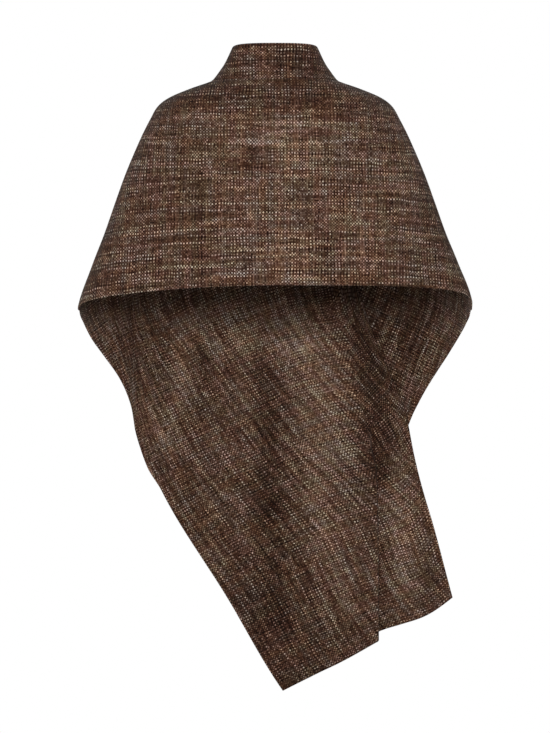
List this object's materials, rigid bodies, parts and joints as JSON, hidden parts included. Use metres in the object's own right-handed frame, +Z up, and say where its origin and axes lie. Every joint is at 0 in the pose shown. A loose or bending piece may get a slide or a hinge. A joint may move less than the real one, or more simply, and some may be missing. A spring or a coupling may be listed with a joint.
{
  "type": "cape",
  "caption": "Worn wrap cape of coarse brown tweed: funnel collar, short back, and crossing fronts, the left one long and slanting down to a low corner.",
  "frame": {"origin": "middle of the neck, level with the seam that joins the collar to the back", "axes": "+Z up, -Y to the wearer's front, +X to the wearer's left"},
  "size_m": [0.6804, 0.2815, 1.1263],
  "materials": {
    "tweed": "matt, coarse plain weave with slubs in brown, beige, rust and blue-grey",
    "collar_tweed": "matt, coarse plain weave with slubs in brown, beige, rust and blue-grey"
  },
  "bodies": {
    "root": {"back": "tweed", "front_left": "tweed", "front_right": "tweed", "collar": "collar_tweed"}
  },
  "joints": []
}
